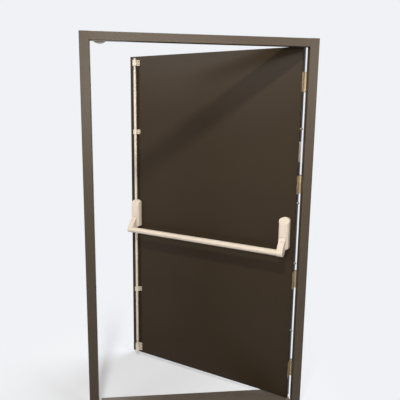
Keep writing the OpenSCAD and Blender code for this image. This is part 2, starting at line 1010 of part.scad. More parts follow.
// A coil of round wire along +Z: rings of points on the wire, joined ring to ring
module coil() {
  rings = spring_turns * spring_steps;
  function ring_point(i, j) =
    let (turn = 360 * i / spring_steps, roll = 360 * j / spring_sides, r = spring_r + spring_wire_r * cos(roll))
    [r * cos(turn), r * sin(turn), spring_pitch * i / spring_steps + spring_wire_r * sin(roll)];
  points = [for (i = [0 : rings]) for (j = [0 : spring_sides - 1]) ring_point(i, j)];
  sides = [for (i = [0 : rings - 1]) for (j = [0 : spring_sides - 1])
    let (a = i * spring_sides + j, b = i * spring_sides + (j + 1) % spring_sides)
    [a, b, b + spring_sides, a + spring_sides]];
  start = [for (j = [0 : spring_sides - 1]) spring_sides - 1 - j];
  end = [for (j = [0 : spring_sides - 1]) rings * spring_sides + j];
  polyhedron(points, concat([start], sides, [end]));
}

module return_springs() {
  color(steel) on_leaf() for (x = [rod_x, idle_x]) for (side = [0, 1])
    translate([x, near_y - pivot[0], pivot[1]])
      mirror([side, 0, 0])
        translate([spring_start, 0, 0])
          rotate([0, 90, 0])
            coil();
}

// Push bar

// An arm in side view
module arm_outline() {
  hull() {
    translate(pivot) circle(boss_r);
    translate(nose) circle(nose_r);
    translate(hub) circle(hub_r);
  }
}

// The hollow between an arm's cheeks, which the rods keep to when the bar is pushed
module arm_hollow() {
  hull() {
    translate(pivot) circle(boss_r + 7);
    translate(nose) circle(nose_r - nose_wall);
    translate(relief_at) circle(relief_r);
  }
  translate(pivot) rotate(push_angle) translate([-lever_r, -lever_r]) square([lever_r + rod_front - pivot[0], lever_r]);
}

module arm(x) {
  difference() {
    across(x, arm_w) arm_outline();
    across(x, arm_gap) arm_hollow();
    across(x, arm_w + 1) translate(hub) circle(bar_r + pin_fit);
    pivot_bore(x, pivot_r + pin_fit);
    across(x, arm_w + 1) translate(crank) circle(crank_pin_r + pin_fit);
    set_screw_place(x) cylinder(h = set_screw_len, r = set_screw_r + pin_fit);
  }
}

// Place on the front of an arm, pointing into it
module set_screw_place(x) {
  inward = front_angle - 90;
  spot = nose - nose_r * [cos(inward), sin(inward)] + set_screw_at * [cos(front_angle), sin(front_angle)];
  translate([x, near_y - spot[0], spot[1]])
    rotate([90, 0, -90])
      rotate([0, 0, inward])
        translate([-1, 0, 0])
          rotate([0, 90, 0])
            children();
}

module active_arm() {
  color(cream) on_leaf() arm(rod_x);
}

module idle_arm() {
  color(cream) on_leaf() arm(idle_x);
}

module crossbar() {
  left = rod_x - arm_w / 2 + plug_t;
  right = idle_x + arm_w / 2 - plug_t;
  color(cream) on_leaf() across((left + right) / 2, right - left) translate(hub) difference() {
    circle(bar_r);
    circle(bar_r - bar_wall);
  }
}

// A plug in each end of the crossbar, flush with the arm
module bar_end_plugs() {
  color(cream) on_leaf() for (end = [[rod_x - arm_w / 2, 1], [idle_x + arm_w / 2, -1]]) {
    across(end[0] + end[1] * plug_t / 2, plug_t) translate(hub) circle(bar_r);
    across(end[0] + end[1] * plug_len / 2, plug_len) translate(hub) circle(bar_r - bar_wall - pin_fit);
  }
}

module arm_screws() {
  color(zinc) on_leaf() for (x = [rod_x, idle_x])
    set_screw_place(x) translate([0, 0, 1.5]) cylinder(h = set_screw_len - 1.5, r = set_screw_r);
}

module crank_pin() {
  color(zinc) on_leaf() across(rod_x, arm_w - 1) translate(crank) circle(crank_pin_r);
}

// Sliders and rocker

// A block that takes the end of a rod; the rod enters from above or from below
module rod_socket(span, seat_low, seat_high) {
  difference() {
    upright(span[0], span[1]) translate([rod_x - socket_w / 2, socket_d[0]])
      square([socket_w, socket_d[1] - socket_d[0]]);
    on_rod(seat_low) cylinder(h = seat_high - seat_low, r = rod_r + pin_fit);
  }
}

// A strap beside the blade, ending in a tab whose pin drives one end of the rocker
module drive_strap(side, low, high, pin_z) {
  translate([rod_x, 0, 0]) {
    outward(strap_d[0], strap_d[1]) mirror([side < 0 ? 1 : 0, 0]) {
      translate([strap_x[0], low]) square([strap_x[1] - strap_x[0], high - low]);
      translate([strap_x[0], pin_z - strap_tab]) square([rocker_reach + 4 - strap_x[0], 2 * strap_tab]);
    }
    outward(drive_tip_d, strap_d[1]) translate([side * rocker_reach, pin_z]) circle(drive_pin_r);
  }
}

// The blade that the crank pin pulls down: a bar that ends in an open fork
module blade() {
  slot = crank_pin_r + run_gap;
  top = top_socket_z[0] + 1;
  across(rod_x, blade_t) polygon([[blade_d[0], top], [blade_d[1], top], [blade_d[1], fork_z[2]],
    [fork_d[2], fork_z[2]], [fork_d[2], crank[1] + slot], [fork_d[1], crank[1] + slot],
    [fork_d[1], crank[1] - slot], [fork_d[2], crank[1] - slot], [fork_d[2], fork_z[0]],
    [fork_d[0], fork_z[0]], [fork_d[0], fork_z[1]], [blade_d[0], fork_z[1]]]);
}

module top_slider() {
  pin_z = rocker_z + rod_travel / 2;
  color(zinc) on_leaf() {
    rod_socket(top_socket_z, top_rod_start, top_socket_z[1] + 1);
    blade();
    drive_strap(1, pin_z, top_socket_z[0] + 1, pin_z);
  }
}

module bottom_slider() {
  pin_z = rocker_z - rod_travel / 2;
  color(zinc) on_leaf() {
    rod_socket(low_socket_z, low_socket_z[0] - 1, low_rod_top);
    drive_strap(-1, low_socket_z[1] - 1, pin_z, pin_z);
  }
}

// A two-ended lever that lifts the lower rod as the upper rod is drawn down
module rocker() {
  slot = drive_pin_r + run_gap;
  slot_from = rocker_reach - slot - 1;
  color(zinc) on_leaf() translate([rod_x, 0, 0]) outward(rocker_d[0], rocker_d[1])
    translate([0, rocker_z]) rotate(rocker_tilt) difference() {
      union() {
        circle(rocker_boss_r);
        square([2 * rocker_end, rocker_bar], center = true);
      }
      circle(stud_r + pin_fit);
      for (side = [-1, 1])
        translate([side * (slot_from + rocker_end) / 2, 0])
          square([rocker_end - slot_from + 1, 2 * slot], center = true);
    }
}

module rocker_stud() {
  color(zinc) on_leaf() translate([rod_x, 0, 0]) {
    outward(0, stud_head_d[1]) translate([0, rocker_z]) circle(stud_r);
    outward(stud_head_d[0], stud_head_d[1]) translate([0, rocker_z]) circle(stud_head_r);
  }
}

hinge_jamb();
lock_jamb();
frame_head();
threshold();
hinge_jamb_seal();
lock_jamb_seal();
head_seal();
top_keep();
floor_keep();
keep_screws();
fixing_sleeves();
hinge_backers();
frame_hinge_leaf(0);  // frame_hinge_leaf_1
frame_hinge_leaf(1);  // frame_hinge_leaf_2
frame_hinge_leaf(2);  // frame_hinge_leaf_3
frame_hinge_leaf(3);  // frame_hinge_leaf_4
hinge_pins();
frame_hinge_screws();
inner_skin();
outer_skin();
leaf_core();
top_channel();
bottom_channel();
hinge_stile();
dog_bolts();
edge_plate();
edge_plate_screws();
leaf_hinge_leaf(0);  // leaf_hinge_leaf_1
leaf_hinge_leaf(1);  // leaf_hinge_leaf_2
leaf_hinge_leaf(2);  // leaf_hinge_leaf_3
leaf_hinge_leaf(3);  // leaf_hinge_leaf_4
leaf_hinge_screws();
top_guide();
upper_rod_guide();
lower_rod_guide();
bottom_guide();
guide_screws();
active_base();
active_cover();
idle_base();
idle_cover();
case_screws();
active_pivot_pins();
idle_pivot_pins();
return_springs();
rocker_stud();
rocker();
active_arm();
idle_arm();
crossbar();
bar_end_plugs();
arm_screws();
crank_pin();
top_rod();
top_bolt();
top_slider();
bottom_rod();
bottom_bolt();
bottom_slider();
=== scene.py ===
"""Looks of a steel fire exit door in its frame: finishes, small trim, studio and camera.

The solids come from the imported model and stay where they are. This script dresses each of them with
a procedural finish, adds the thin trim that sits on them, and sets up a pale studio with a camera
at eye height in front of the door. Lengths are in metres, and colours are sRGB in 0 to 255.
"""

import json
import logging
import math
from dataclasses import dataclass
from enum import Enum
from functools import cache

import bmesh
import bpy
import numpy as np
from mathutils import Matrix, Vector


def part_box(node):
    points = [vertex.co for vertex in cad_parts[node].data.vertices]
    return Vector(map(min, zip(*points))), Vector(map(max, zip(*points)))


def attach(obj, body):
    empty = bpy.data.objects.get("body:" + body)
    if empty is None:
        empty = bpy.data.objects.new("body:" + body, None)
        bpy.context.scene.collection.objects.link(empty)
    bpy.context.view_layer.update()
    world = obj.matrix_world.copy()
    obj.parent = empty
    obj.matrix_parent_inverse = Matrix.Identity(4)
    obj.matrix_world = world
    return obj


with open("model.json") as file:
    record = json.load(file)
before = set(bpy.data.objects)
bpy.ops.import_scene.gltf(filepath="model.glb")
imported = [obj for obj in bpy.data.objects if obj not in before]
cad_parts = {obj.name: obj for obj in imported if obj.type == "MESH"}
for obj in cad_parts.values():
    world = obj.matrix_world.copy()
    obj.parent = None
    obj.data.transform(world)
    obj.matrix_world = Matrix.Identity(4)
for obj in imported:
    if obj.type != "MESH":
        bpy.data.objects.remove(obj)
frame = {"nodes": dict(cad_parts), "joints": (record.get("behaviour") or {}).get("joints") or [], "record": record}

LOG = logging.getLogger("fire_exit_door")
MM = 0.001
MERGE_DISTANCE = 0.001 * MM

# Most of a noise's values lie between these two
NOISE_LOW = 0.3
NOISE_HIGH = 0.7

Colour = tuple[float, float, float]
Point = tuple[float, float, float]
Node = bpy.types.Node
Socket = bpy.types.NodeSocket
Tree = bpy.types.NodeTree
Value = Socket | float | tuple[float, ...]


class Grain(Enum):
    """How a finish is stretched: the noise's scale along X, Y and Z."""

    EVEN = (1.0, 1.0, 1.0)
    UPRIGHT = (1.0, 1.0, 0.06)
    ALONG_SILL = (0.03, 1.0, 1.0)
    ROLLED = (0.35, 0.35, 1.0)


class Kind(Enum):
    """What a node group takes in or puts out."""

    COLOUR = "NodeSocketColor"
    VALUE = "NodeSocketFloat"
    VECTOR = "NodeSocketVector"


def linear(colour: Colour) -> tuple[float, float, float, float]:
    """Turn an sRGB colour in 0 to 255 into linear RGBA, by the sRGB curve.

    Args:
        colour: red, green and blue as seen on a screen.

    Returns:
        Scene-linear red, green, blue and an alpha of 1.
    """
    parts = [c / 255 for c in colour]
    red, green, blue = (p / 12.92 if p <= 0.04045 else ((p + 0.055) / 1.055) ** 2.4 for p in parts)
    return red, green, blue, 1.0


# Shader node groups


class NodeKit:
    """Adds nodes to a node tree and feeds their sockets."""

    def __init__(self, tree: Tree) -> None:
        """Take the tree to work on.

        Args:
            tree: of a group, a material or a world.
        """
        self.tree = tree

    def add(self, kind: str, **values: object) -> Node:
        """Add a node and set its own properties.

        Args:
            kind: the node's type.
            values: properties such as operation or data_type.

        Returns:
            The new node.
        """
        node = self.tree.nodes.new(kind)
        for key, value in values.items():
            setattr(node, key, value)
        return node

    def feed(self, target: Socket, value: Value) -> None:
        """Link a socket to another one, or set it to a constant.

        Args:
            target: the socket to feed.
            value: the socket that it is linked to, or the constant.
        """
        if isinstance(value, Socket):
            self.tree.links.new(value, target)
        else:
            target.default_value = value

    def maths(self, operation: str, first: Value, second: Value) -> Socket:
        """Add a Math node on two values.

        Args:
            operation: the Math node's operation.
            first: a socket or a number.
            second: a socket or a number.

        Returns:
            The node's output.
        """
        node = self.add("ShaderNodeMath", operation=operation)
        self.feed(node.inputs[0], first)
        self.feed(node.inputs[1], second)
        return node.outputs[0]

    def vectors(self, operation: str, first: Value, second: Value) -> Node:
        """Add a Vector Math node on two vectors.

        Args:
            operation: the Vector Math node's operation.
            first: a socket or three numbers.
            second: a socket or three numbers.

        Returns:
            The node, whose output is called Vector or Value.
        """
        node = self.add("ShaderNodeVectorMath", operation=operation)
        self.feed(node.inputs[0], first)
        self.feed(node.inputs[1], second)
        return node

    def noise(self, scale: Value, octaves: float, stretch: Socket | None = None) -> Socket:
        """Add a noise on Object coordinates.

        Args:
            scale: a socket or a number, in features to the metre.
            octaves: how many finer layers it has.
            stretch: a vector that scales the coordinates, or nothing.

        Returns:
            The noise's value, about 0.5 on average.
        """
        place = self.add("ShaderNodeTexCoord").outputs["Object"]
        if stretch is not None:
            place = self.vectors("MULTIPLY", place, stretch).outputs["Vector"]
        node = self.add("ShaderNodeTexNoise")
        self.feed(node.inputs["Vector"], place)
        self.feed(node.inputs["Scale"], scale)
        self.feed(node.inputs["Detail"], octaves)
        return node.outputs["Fac"]

    def spread(self, noise: Socket, low: Value, high: Value) -> Socket:
        """Stretch the middle of a noise over a range.

        Args:
            noise: the noise's value.
            low: the result at the noise's usual low end, a socket or a number.
            high: the result at its usual high end, a socket or a number.

        Returns:
            The stretched value.
        """
        node = self.add("ShaderNodeMapRange")
        self.feed(node.inputs["Value"], noise)
        self.feed(node.inputs["From Min"], NOISE_LOW)
        self.feed(node.inputs["From Max"], NOISE_HIGH)
        self.feed(node.inputs["To Min"], low)
        self.feed(node.inputs["To Max"], high)
        return node.outputs["Result"]

    def blend(self, share: Socket, first: Value, second: Value) -> Socket:
        """Mix two colours by a share.

        Args:
            share: 0 gives the first colour, 1 the second.
            first: a socket or a linear colour.
            second: a socket or a linear colour.

        Returns:
            The mixed colour.
        """
        node = self.add("ShaderNodeMix", data_type="RGBA")
        self.feed(node.inputs["Factor"], share)
        self.feed(node.inputs["A"], first)
        self.feed(node.inputs["B"], second)
        return node.outputs["Result"]

    def choose(self, share: Socket, first: Socket, second: Socket) -> Socket:
        """Mix two shaders by a share.

        Args:
            share: 0 gives the first shader, 1 the second.
            first: a shader's output.
            second: a shader's output.

        Returns:
            The mixed shader.
        """
        node = self.add("ShaderNodeMixShader")
        for target, value in zip(node.inputs, (share, first, second)):
            self.feed(target, value)
        return node.outputs[0]

    def seen_directly(self) -> Socket:
        """A mask of the rays that show a surface: camera, glossy and transmission rays.

        Returns:
            1 for such rays, 0 for others.
        """
        path = self.add("ShaderNodeLightPath")
        total = path.outputs["Is Camera Ray"]
        for name in ("Is Glossy Ray", "Is Transmission Ray"):
            total = self.maths("MAXIMUM", total, path.outputs[name])
        return total


class GroupMaker(NodeKit):
    """Makes a shader node group with named inputs and outputs."""

    def __init__(self, name: str, inputs: dict[str, Kind], outputs: dict[str, Kind]) -> None:
        """Make the empty group with its sockets.

        Args:
            name: the group's name.
            inputs: what it takes in, by name.
            outputs: what it puts out, by name.
        """
        super().__init__(bpy.data.node_groups.new(name, "ShaderNodeTree"))
        for side, sockets in (("INPUT", inputs), ("OUTPUT", outputs)):
            for socket, kind in sockets.items():
                self.tree.interface.new_socket(socket, in_out=side, socket_type=kind.value)
        self.given = self.add("NodeGroupInput").outputs
        self.result = self.add("NodeGroupOutput").inputs


# What the group of every finish puts out
FINISH_OUTPUTS = {"Colour": Kind.COLOUR, "Roughness": Kind.VALUE, "Height": Kind.VALUE}


@dataclass(frozen=True)
class SprayedCoat:
    """Sprayed and stoved paint: cloudy tone, flecks, orange peel, and a duller bloom here and there.

    Scales are in features to the metre.
    """

    cloud_scale: float = 2.6
    cloud_octaves: float = 3.0
    fleck_scale: float = 420.0
    fleck_octaves: float = 2.0
    fleck_share: float = 0.06
    bloom_scale: float = 9.0
    bloom_octaves: float = 4.0
    bloom_swing: float = 0.02
    peel_scale: float = 300.0
    pore_scale: float = 1300.0
    peel_octaves: float = 1.0
    pore_share: float = 0.35

    @cache
    def tree(self) -> Tree:
        """Make the node group, once.

        Returns:
            The node group.
        """
        inputs = {"Colour": Kind.COLOUR, "Thin": Kind.COLOUR, "Share": Kind.VALUE,
                  "Roughness": Kind.VALUE, "Stretch": Kind.VECTOR}
        maker = GroupMaker("sprayed_coat", inputs, FINISH_OUTPUTS)
        given, result = maker.given, maker.result
        clouds = maker.noise(self.cloud_scale, self.cloud_octaves, given["Stretch"])
        flecks = maker.noise(self.fleck_scale, self.fleck_octaves)
        blooms = maker.noise(self.bloom_scale, self.bloom_octaves, given["Stretch"])
        peel = maker.noise(self.peel_scale, self.peel_octaves)
        pores = maker.noise(self.pore_scale, self.peel_octaves)
        thinned = maker.maths("ADD", maker.spread(clouds, 0.0, given["Share"]),
                              maker.spread(flecks, 0.0, self.fleck_share))
        dulled = maker.spread(blooms, -self.bloom_swing, self.bloom_swing)
        fine = maker.maths("MULTIPLY", pores, self.pore_share)
        maker.feed(result["Colour"], maker.blend(thinned, given["Colour"], given["Thin"]))
        maker.feed(result["Roughness"], maker.maths("ADD", given["Roughness"], dulled))
        maker.feed(result["Height"], maker.maths("ADD", peel, fine))
        return maker.tree


@dataclass(frozen=True)
class DrawnGrain:
    """Drawn, plated or pressed material: fine lines along the grain over a cloudy tint.

    Each pair is what the low and the high end of the noise add to the tint's share or the roughness.
    """

    line_octaves: float = 3.0
    cloud_octaves: float = 4.0
    cloud_tint: tuple[float, float] = (0.0, 0.8)
    line_tint: tuple[float, float] = (-0.12, 0.2)
    cloud_dulling: tuple[float, float] = (-0.05, 0.08)
    line_dulling: tuple[float, float] = (-0.07, 0.07)

    @cache
    def tree(self) -> Tree:
        """Make the node group, once.

        Returns:
            The node group.
        """
        inputs = {"Colour": Kind.COLOUR, "Tint": Kind.COLOUR, "Clouds": Kind.VALUE, "Lines": Kind.VALUE,
                  "Roughness": Kind.VALUE, "Stretch": Kind.VECTOR}
        maker = GroupMaker("drawn_grain", inputs, FINISH_OUTPUTS)
        given, result = maker.given, maker.result
        lines = maker.noise(given["Lines"], self.line_octaves, given["Stretch"])
        clouds = maker.noise(given["Clouds"], self.cloud_octaves)
        tinted = maker.maths("ADD", maker.spread(lines, *self.line_tint),
                             maker.spread(clouds, *self.cloud_tint))
        dulled = maker.maths("ADD", maker.spread(lines, *self.line_dulling),
                             maker.spread(clouds, *self.cloud_dulling))
        maker.feed(result["Colour"], maker.blend(tinted, given["Colour"], given["Tint"]))
        maker.feed(result["Roughness"], maker.maths("ADD", given["Roughness"], dulled))
        maker.feed(result["Height"], lines)
        return maker.tree


@dataclass(frozen=True)
class BrokenEdges:
    """Broken edges: a normal that rolls over each edge, and a mask of where it does.

    The mask is 1 minus the cosine between the rolled and the true normal, times a gain, up to 1.
    """

    samples: int = 6
    mask_gain: float = 4.0

    @cache
    def tree(self) -> Tree:
        """Make the node group, once.

        Returns:
            The node group.
        """
        outputs = {"Normal": Kind.VECTOR, "Edge": Kind.VALUE}
        maker = GroupMaker("broken_edges", {"Radius": Kind.VALUE}, outputs)
        roll = maker.add("ShaderNodeBevel", samples=self.samples)
        maker.feed(roll.inputs["Radius"], maker.given["Radius"])
        rolled = roll.outputs["Normal"]
        true = maker.add("ShaderNodeNewGeometry").outputs["Normal"]
        away = maker.maths("SUBTRACT", 1.0, maker.vectors("DOT_PRODUCT", rolled, true).outputs["Value"])
        mask = maker.maths("MINIMUM", maker.maths("MULTIPLY", away, self.mask_gain), 1.0)
        maker.feed(maker.result["Normal"], rolled)
        maker.feed(maker.result["Edge"], mask)
        return maker.tree


# Finishes


class Shader(NodeKit):
    """A material with one Principled BSDF, and the groups that feed it."""

    def __init__(self, name: str) -> None:
        """Make the material.

        Args:
            name: the material's name.
        """
        self.material = bpy.data.materials.new(name)
        self.material.use_nodes = True
        super().__init__(self.material.node_tree)
        self.body = self.tree.nodes["Principled BSDF"]

    def give(self, name: str, value: Value) -> None:
        """Feed one of the Principled BSDF's inputs.

        Args:
            name: the input's name.
            value: a socket or a constant.
        """
        self.feed(self.body.inputs[name], value)

    def group(self, tree: Tree, **values: Value) -> Node:
        """Place a node group.

        Args:
            tree: the group.
            values: its input values by name.

        Returns:
            The group's node.
        """
        node = self.add("ShaderNodeGroup", node_tree=tree)
        for name, value in values.items():
            self.feed(node.inputs[name], value)
        return node

    def relief(self, height: Socket, normal: Socket, depth: float) -> None:
        """Give the surface a fine relief over its rolled edges.

        Args:
            height: the relief, 0 to 1.
            normal: the normal that it stands on.
            depth: the relief's depth.
        """
        bump = self.add("ShaderNodeBump")
        self.feed(bump.inputs["Strength"], 1.0)
        self.feed(bump.inputs["Distance"], depth)
        self.feed(bump.inputs["Height"], height)
        self.feed(bump.inputs["Normal"], normal)
        self.give("Normal", bump.outputs["Normal"])


@dataclass(frozen=True)
class Paint:
    """A sprayed finish on metal: a colour that thins in clouds and turns lighter along the edges, as wear on most
    parts and as a painted highlight on the leaf's rims.
    """

    name: str
    colour: Colour
    thin: Colour
    edge: Colour
    roughness: float
    specular: float
    edge_radius: float
    peel: float
    thin_share: float = 0.6
    grain: Grain = Grain.EVEN

    @cache
    def material(self) -> bpy.types.Material:
        """Build the finish, once.

        Returns:
            The material.
        """
        shader = Shader(self.name)
        coat = shader.group(
            SprayedCoat().tree(), Colour=linear(self.colour), Thin=linear(self.thin), Share=self.thin_share,
            Roughness=self.roughness, Stretch=self.grain.value)
        edges = shader.group(BrokenEdges().tree(), Radius=self.edge_radius)
        # Lighter edge colour: wear, and on the leaf a painted highlight along the rims.
        edge_wear_and_highlight = shader.blend(edges.outputs["Edge"], coat.outputs["Colour"], linear(self.edge))
        shader.give("Base Color", edge_wear_and_highlight)
        shader.give("Roughness", coat.outputs["Roughness"])
        shader.give("Specular IOR Level", self.specular)
        shader.relief(coat.outputs["Height"], edges.outputs["Normal"], self.peel)
        return shader.material


@dataclass(frozen=True)
class Grained:
    """Metal, rubber or wool with a grain. Clouds and lines are in features to the metre."""

    name: str
    colour: Colour
    tint: Colour
    roughness: float
    clouds: float
    lines: float = 900.0
    metallic: float = 0.0
    edge_radius: float = 0.5 * MM
    depth: float = 0.01 * MM
    grain: Grain = Grain.EVEN

    @cache
    def material(self) -> bpy.types.Material:
        """Build the finish, once.

        Returns:
            The material.
        """
        shader = Shader(self.name)
        drawn = shader.group(
            DrawnGrain().tree(), Colour=linear(self.colour), Tint=linear(self.tint), Clouds=self.clouds,
            Lines=self.lines, Roughness=self.roughness, Stretch=self.grain.value)
        edges = shader.group(BrokenEdges().tree(), Radius=self.edge_radius)
        shader.give("Base Color", drawn.outputs["Colour"])
        shader.give("Roughness", drawn.outputs["Roughness"])
        shader.give("Metallic", self.metallic)
        shader.relief(drawn.outputs["Height"], edges.outputs["Normal"], self.depth)
        return shader.material


Finish = Paint | Grained

FRAME_PAINT = Paint(
    "frame_paint", colour=(62, 52, 40), thin=(68, 58, 46), edge=(85, 75, 62), roughness=0.4, specular=0.26,
    edge_radius=1.2 * MM, peel=0.02 * MM, grain=Grain.UPRIGHT)
# Painted light: the frame's brown made lighter, so the keep shows lit although it sits in the head's shade.
LIT_KEEP_PAINT = Paint(
    "lit_keep_paint", colour=(132, 124, 115), thin=(117, 109, 100), edge=(144, 137, 128), roughness=0.42,
    specular=0.4, edge_radius=0.8 * MM, peel=0.02 * MM)
# Painted shade: the leaf's brown is darker than the frame's to stand in for the shade on the leaf. Its lighter
# edge colour, on a wide radius, is a painted highlight along the rims.
SHADED_LEAF_PAINT = Paint(
    "leaf_paint", colour=(45, 36, 25), thin=(51, 41, 30), edge=(78, 66, 53), roughness=0.34, specular=0.12,
    edge_radius=2.0 * MM, peel=0.02 * MM, grain=Grain.ROLLED)
CREAM_PAINT = Paint(
    "cream_paint", colour=(202, 191, 177), thin=(194, 182, 167), edge=(213, 204, 191), roughness=0.36,
    specular=0.42, edge_radius=0.9 * MM, peel=0.006 * MM)
# Painted light: the cream made near white, so the plate shows lit although it sits on the shaded hinge edge.
LIT_EDGE_PLATE_PAINT = Paint(
    "lit_edge_plate_paint", colour=(240, 230, 214), thin=(232, 221, 204), edge=(246, 238, 226), roughness=0.2,
    specular=1.0, edge_radius=0.5 * MM, peel=0.004 * MM)
ZINC = Grained(
    "yellow_zinc", colour=(216, 202, 176), tint=(176, 159, 130), roughness=0.42, clouds=70.0, lines=700.0,
    metallic=0.3)
SCREW_STEEL = Grained(
    "screw_steel", colour=(112, 100, 84), tint=(80, 71, 58), roughness=0.42, clouds=160.0, metallic=0.8,
    edge_radius=0.3 * MM)
BARE_STEEL = Grained(
    "bare_steel", colour=(176, 170, 160), tint=(150, 142, 130), roughness=0.34, clouds=30.0, metallic=1.0,
    grain=Grain.UPRIGHT)
GALVANISED = Grained(
    "galvanised", colour=(112, 110, 106), tint=(92, 90, 86), roughness=0.6, clouds=45.0, lines=500.0,
    metallic=0.5)
SILL_METAL = Grained(
    "sill_metal", colour=(138, 127, 115), tint=(118, 107, 95), roughness=0.52, clouds=12.0, metallic=0.7,
    edge_radius=0.8 * MM, depth=0.012 * MM, grain=Grain.ALONG_SILL)
SEAL_RUBBER = Grained(
    "seal_rubber", colour=(40, 37, 34), tint=(52, 48, 44), roughness=0.72, clouds=60.0,
    edge_radius=0.3 * MM, depth=0.02 * MM)
CORE_WOOL = Grained(
    "core_wool", colour=(172, 152, 104), tint=(138, 118, 76), roughness=0.9, clouds=60.0, lines=260.0,
    edge_radius=0.3 * MM, depth=0.4 * MM, grain=Grain.ROLLED)


def dress(names: list[str], finish: Finish) -> None:
    """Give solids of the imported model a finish.

    Args:
        names: the nodes' names.
        finish: what they are finished in.
    """
    for name in names:
        solid = frame["nodes"][name]
        solid.data.materials.clear()
        solid.data.materials.append(finish.material())
    LOG.info("%s: %s", finish.name, ", ".join(names))


# Surfaces


@dataclass(frozen=True)
class Surface:
    """A surface as points, and as quads that number their points."""

    points: np.ndarray
    quads: np.ndarray

    def copied(self, places: list[Matrix]) -> "Surface":
        """Copies of the surface, one at each place.

        Args:
            places: where each copy goes.

        Returns:
            All the copies as one surface.
        """
        turns = np.array([place.to_3x3() for place in places])
        shifts = np.array([place.translation for place in places])
        points = np.einsum("kij,nj->kni", turns, self.points) + shifts[:, None, :]
        quads = self.quads[None] + np.arange(len(places))[:, None, None] * len(self.points)
        return Surface(points.reshape(-1, 3), quads.reshape(-1, 4))

    def mesh(self, name: str) -> bpy.types.Mesh:
        """Make a mesh, with the points that meet at a pole merged.

        Args:
            name: the mesh's name.

        Returns:
            The mesh.
        """
        mesh = bpy.data.meshes.new(name)
        mesh.from_pydata(self.points.tolist(), [], self.quads.tolist())
        merged = bmesh.new()
        merged.from_mesh(mesh)
        bmesh.ops.remove_doubles(merged, verts=merged.verts, dist=MERGE_DISTANCE)
        merged.to_mesh(mesh)
        merged.free()
        return mesh


def grid(points: np.ndarray, wrap: bool) -> Surface:
    """A surface on a grid of points: each quad joins two neighbours in a row to those in the next row.

    Args:
        points: an array of rows, columns and coordinates.
        wrap: whether the last column joins the first.

    Returns:
        The surface.
    """
    rows, columns = points.shape[:2]
    across = columns if wrap else columns - 1
    row, column = np.meshgrid(np.arange(rows - 1), np.arange(across), indexing="ij")
    here, above = row * columns, (row + 1) * columns
    after = (column + 1) % columns
    corners = [here + column, here + after, above + after, above + column]
    return Surface(points.reshape(-1, 3), np.stack(corners, axis=-1).reshape(-1, 4))


def put_piece(name: str, surface: Surface, finish: Finish) -> bpy.types.Object:
    """Make a smooth object at the origin.

    Args:
        name: the piece's name.
        surface: its shape, where it stands at rest.
        finish: its finish.

    Returns:
        The object.
    """
    mesh = surface.mesh(name)
    mesh.polygons.foreach_set("use_smooth", np.ones(len(mesh.polygons), dtype=bool))
    mesh.materials.append(finish.material())
    mesh.update()
    piece = bpy.data.objects.new(name, mesh)
    bpy.context.scene.collection.objects.link(piece)
    return piece


@dataclass(frozen=True)
class Dome:
    """A low dome about +Z: at the angle t from its tip it is radius * sin(t) out and rise * cos(t) up."""

    radius: float
    rise: float
    sides: int
    steps: int = 8
    skirt_share: float = 0.5

    def surface(self) -> Surface:
        """Turn the profile about +Z, from a skirt below the rim to the tip.

        Returns:
            The dome with its skirt, which is a share of the rise.
        """
        t = np.linspace(math.pi / 2, 0.0, self.steps)
        out = np.concatenate([[self.radius], self.radius * np.sin(t)])[:, None]
        height = np.concatenate([[-self.skirt_share * self.rise], self.rise * np.cos(t)])[:, None]
        angle = np.linspace(0.0, 2 * math.pi, self.sides, endpoint=False)
        points = np.stack([out * np.cos(angle), out * np.sin(angle), height + 0 * angle], axis=-1)
        return grid(points, wrap=True)


@dataclass(frozen=True)
class WeldBead:
    """A weld bead: a half ellipse carried along a joint.

    Its rise ripples as 1 plus a share of the sine of the way along, and tapers at both ends as a low
    power of the sine of half a turn.
    """

    width: float = 3.0 * MM
    rise: float = 0.7 * MM
    ripple: float = 4.0 * MM
    ripple_share: float = 0.25
    taper_power: float = 0.15
    steps_per_ripple: int = 4
    points_across: int = 9

    def surface(self, start: np.ndarray, end: np.ndarray, out: np.ndarray) -> Surface:
        """Carry the half ellipse from start to end.

        Args:
            start: first point of its foot.
            end: last point of its foot.
            out: unit vector away from the metal.

        Returns:
            The bead.
        """
        length = float(np.linalg.norm(end - start))
        along = (end - start) / length
        aside = np.cross(along, out)
        steps = int(self.steps_per_ripple * length / self.ripple) + 2
        way = np.linspace(0.0, 1.0, steps)[:, None, None]
        turn = np.linspace(0.0, math.pi, self.points_across)[None, :, None]
        taper = np.clip(np.sin(math.pi * way), 0.0, 1.0) ** self.taper_power
        swell = taper * (1 + self.ripple_share * np.sin(2 * math.pi * length * way / self.ripple))
        foot = start + along * length * way - aside * (self.width / 2) * np.cos(turn)
        return grid(foot + out * self.rise * swell * np.sin(turn), wrap=False)


# Sub-assemblies


